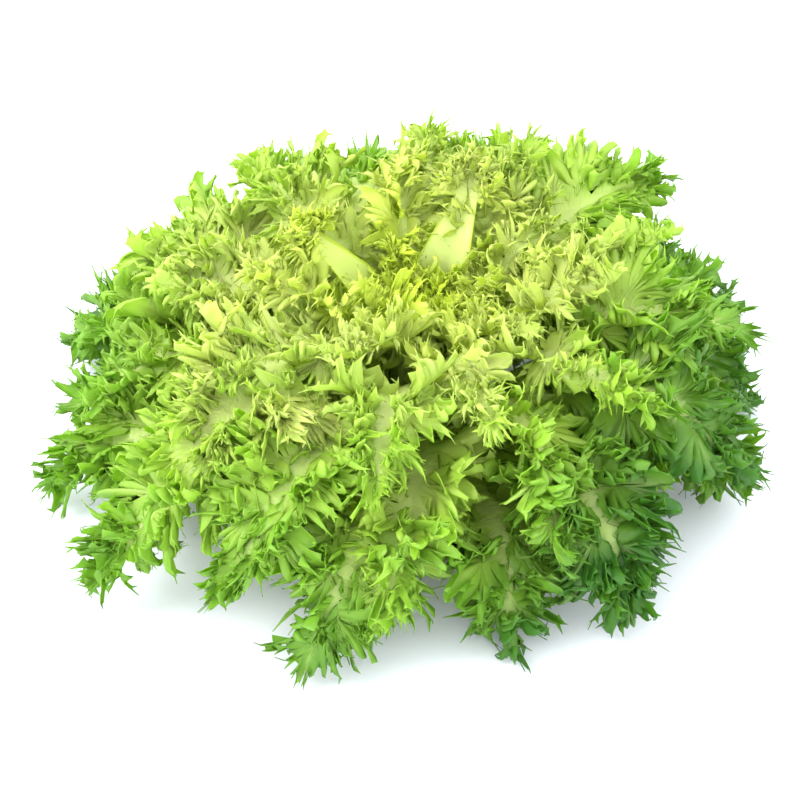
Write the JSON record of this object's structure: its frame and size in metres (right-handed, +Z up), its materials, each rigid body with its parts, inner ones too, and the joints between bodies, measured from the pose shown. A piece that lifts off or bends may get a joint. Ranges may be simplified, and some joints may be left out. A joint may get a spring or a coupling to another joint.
{
  "type": "curly endive",
  "caption": "Whole head of curly endive resting on its cut stem: a rosette of frilled, toothed leaves with pale ribs, green outside and yellow at the heart.",
  "frame": {"origin": "centre of the cut face under the crown, on the surface that the head rests on", "axes": "+Z up from the cut stem through the heart, +X towards the side that the head leans to, +Y away from the viewer in the usual view"},
  "size_m": [0.3255, 0.2956, 0.1271],
  "materials": {
    "crown": "matte",
    "outer_leaf": "satin",
    "middle_leaf": "satin",
    "inner_leaf": "satin",
    "heart_leaf": "satin"
  },
  "bodies": {
    "root": {"crown": "crown", "outer_leaf_01": "outer_leaf", "outer_leaf_02": "outer_leaf", "outer_leaf_03": "outer_leaf", "outer_leaf_04": "outer_leaf", "outer_leaf_05": "outer_leaf", "outer_leaf_06": "outer_leaf", "outer_leaf_07": "outer_leaf", "outer_leaf_08": "outer_leaf", "outer_leaf_09": "outer_leaf", "outer_leaf_10": "outer_leaf", "outer_leaf_11": "outer_leaf", "outer_leaf_12": "outer_leaf", "outer_leaf_13": "outer_leaf", "outer_leaf_14": "outer_leaf", "outer_leaf_15": "outer_leaf", "outer_leaf_16": "outer_leaf", "outer_leaf_17": "outer_leaf", "middle_leaf_01": "middle_leaf", "middle_leaf_02": "middle_leaf", "middle_leaf_03": "middle_leaf", "middle_leaf_04": "middle_leaf", "middle_leaf_05": "middle_leaf", "middle_leaf_06": "middle_leaf", "middle_leaf_07": "middle_leaf", "middle_leaf_08": "middle_leaf", "middle_leaf_09": "middle_leaf", "middle_leaf_10": "middle_leaf", "middle_leaf_11": "middle_leaf", "middle_leaf_12": "middle_leaf", "middle_leaf_13": "middle_leaf", "middle_leaf_14": "middle_leaf", "middle_leaf_15": "middle_leaf", "middle_leaf_16": "middle_leaf", "middle_leaf_17": "middle_leaf", "inner_leaf_01": "inner_leaf", "inner_leaf_02": "inner_leaf", "inner_leaf_03": "inner_leaf", "inner_leaf_04": "inner_leaf", "inner_leaf_05": "inner_leaf", "inner_leaf_06": "inner_leaf", "inner_leaf_07": "inner_leaf", "inner_leaf_08": "inner_leaf", "inner_leaf_09": "inner_leaf", "inner_leaf_10": "inner_leaf", "inner_leaf_11": "inner_leaf", "inner_leaf_12": "inner_leaf", "inner_leaf_13": "inner_leaf", "heart_leaf_01": "heart_leaf", "heart_leaf_02": "heart_leaf", "heart_leaf_03": "heart_leaf", "heart_leaf_04": "heart_leaf", "heart_leaf_05": "heart_leaf", "heart_leaf_06": "heart_leaf", "heart_leaf_07": "heart_leaf", "heart_leaf_08": "heart_leaf"}
  },
  "joints": []
}
